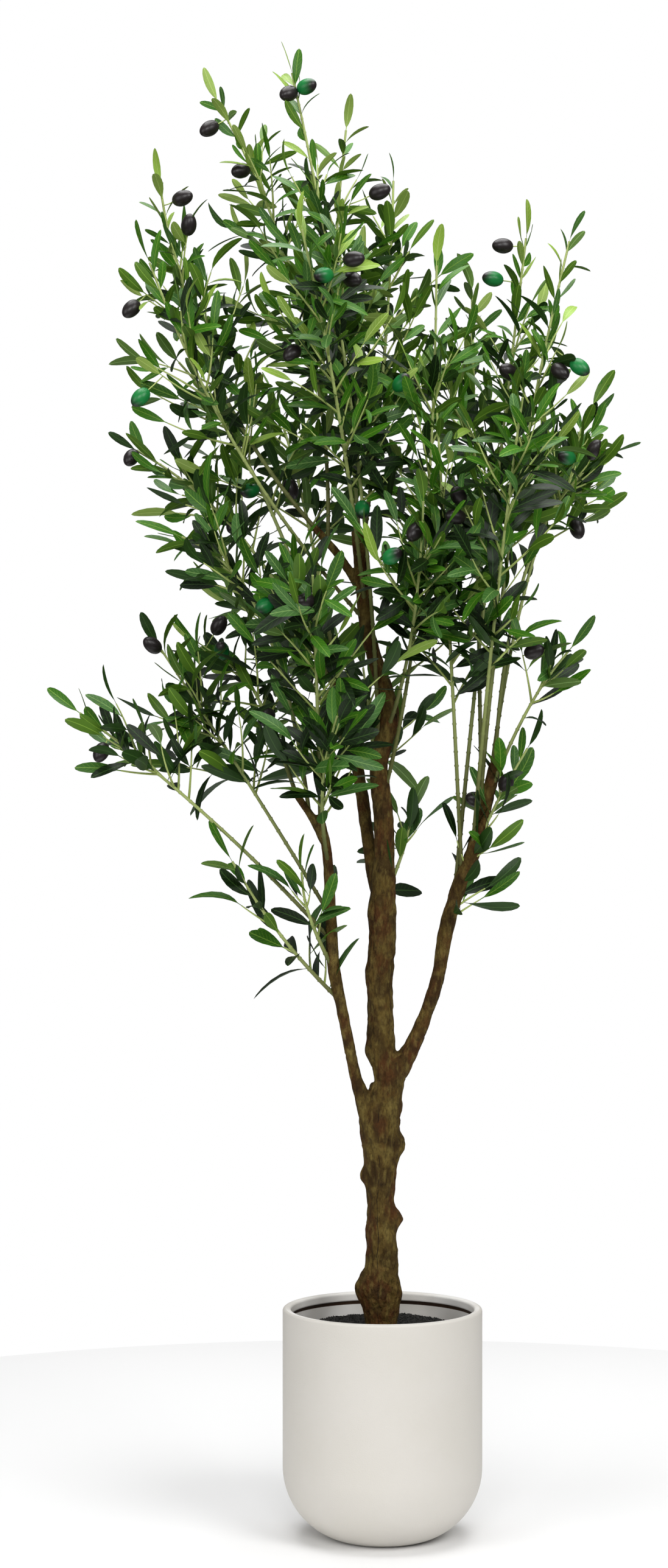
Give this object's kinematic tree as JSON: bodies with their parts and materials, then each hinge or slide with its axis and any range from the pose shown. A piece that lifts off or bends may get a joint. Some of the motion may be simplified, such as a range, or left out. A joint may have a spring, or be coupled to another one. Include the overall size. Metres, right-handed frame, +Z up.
{
  "type": "artificial potted olive tree",
  "caption": "Artificial olive tree with a forked brown trunk and airy sprays of slim leaves and olives, standing in a tall round cream pot filled with dark soil.",
  "frame": {"origin": "middle of the pot's flat round underside, on the floor", "axes": "+Z up along the pot's axis to the crown's top, +X to the right seen from the front, +Y to the back"},
  "size_m": [0.8298, 0.704, 2.1288],
  "materials": {
    "pot": "matte",
    "soil": "matte",
    "bark": "matte",
    "foliage": "satin"
  },
  "bodies": {
    "root": {"centre_front": "foliage", "centre_low": "foliage", "centre_right": "foliage", "far_left": "foliage", "leader_back": "foliage", "leader_front": "foliage", "left_bough": "bark", "left_crest": "foliage", "left_fork": "bark", "left_front": "foliage", "left_high": "foliage", "left_inner": "foliage", "left_low": "foliage", "left_outer": "foliage", "left_shoot": "foliage", "left_up": "foliage", "pot": "pot", "rear_back": "foliage", "rear_bough": "bark", "rear_high": "foliage", "rear_left": "foliage", "rear_side": "foliage", "rear_skirt": "foliage", "right_back": "foliage", "right_bough": "bark", "right_far": "foliage", "right_front": "foliage", "right_high": "foliage", "right_inner": "foliage", "right_low": "foliage", "right_of_top": "foliage", "right_out": "foliage", "right_peak": "foliage", "right_skirt": "foliage", "soil": "soil", "top": "foliage", "top_left": "foliage", "top_right": "foliage", "trunk": "bark", "trunk_skirt": "foliage", "upper_bough": "bark"}
  },
  "joints": []
}
